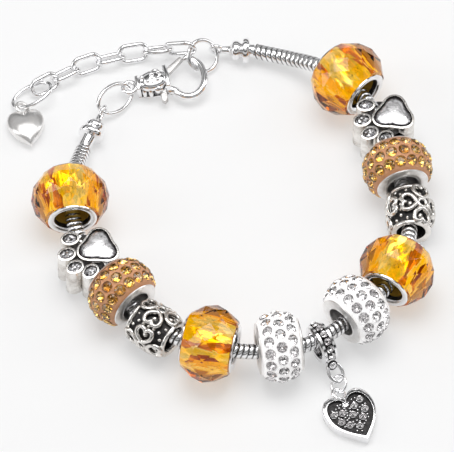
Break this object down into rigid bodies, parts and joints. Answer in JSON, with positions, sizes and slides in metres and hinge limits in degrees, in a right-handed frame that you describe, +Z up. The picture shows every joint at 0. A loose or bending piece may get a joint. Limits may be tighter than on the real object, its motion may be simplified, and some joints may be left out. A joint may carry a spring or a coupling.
{
  "type": "charm bracelet",
  "caption": "Charm bracelet of a silver snake chain strung with amber glass, pave, paw and openwork heart beads, with a heart dangle, a lobster clasp and an extension chain.",
  "frame": {"origin": "middle of the footprint of the laid-out bracelet, on the table", "axes": "+X to the right with the clasp at the back left, +Y to the back where the clasp and the extension chain lie, +Z up from the table"},
  "size_m": [0.0772, 0.084, 0.014],
  "materials": {
    "amber_glass": "clear, faceted and polished, honey inside and mauve at the rim",
    "polished_silver": "mirror polished silver",
    "chain_silver": "bright ribs with dark gaps between them",
    "satin_silver": "satin turned silver",
    "antique_silver": "bright raised silver with blackened recesses",
    "champagne_clay": "matt peach clay set with golden cut stones",
    "white_clay": "matt white clay set with clear cut stones"
  },
  "bodies": {
    "bracelet": {"snake_chain": "chain_silver", "glass_bead_1": "amber_glass", "grommet_1_a": "polished_silver", "grommet_1_b": "polished_silver", "glass_bead_2": "amber_glass", "grommet_2_a": "polished_silver", "grommet_2_b": "polished_silver", "glass_bead_3": "amber_glass", "grommet_3_a": "polished_silver", "grommet_3_b": "polished_silver", "glass_bead_4": "amber_glass", "grommet_4_a": "polished_silver", "grommet_4_b": "polished_silver", "champagne_pave_1": "champagne_clay", "champagne_core_1": "satin_silver", "white_pave_1": "white_clay", "white_core_1": "satin_silver", "hearts_bead_1": "antique_silver", "paw_bead_1": "antique_silver", "champagne_pave_2": "champagne_clay", "champagne_core_2": "satin_silver", "white_pave_2": "white_clay", "white_core_2": "satin_silver", "hearts_bead_2": "antique_silver", "paw_bead_2": "antique_silver", "dangle_bail": "antique_silver", "dangle_link": "polished_silver", "heart_pendant": "antique_silver", "left_end_cap": "polished_silver", "right_end_cap": "polished_silver", "clasp_jump_ring": "polished_silver", "end_jump_ring": "polished_silver", "clasp_body": "polished_silver", "extension_link_1": "polished_silver", "extension_link_2": "polished_silver", "extension_link_3": "polished_silver", "extension_link_4": "polished_silver", "extension_link_5": "polished_silver", "extension_link_6": "polished_silver", "extension_link_7": "polished_silver", "extension_end_ring": "polished_silver", "heart_charm": "polished_silver"},
    "lever": {"clasp_lever": "polished_silver"}
  },
  "joints": [
    {"name": "clasp_lever_hinge", "type": "hinge", "parent": "bracelet", "child": "lever", "pos_m": [-0.01105, 0.03401, 0.00189], "axis": [0.098, 0.0191, -0.995], "range_deg": [0, 24], "stiffness_Nm_per_rad": 0.0004}
  ]
}
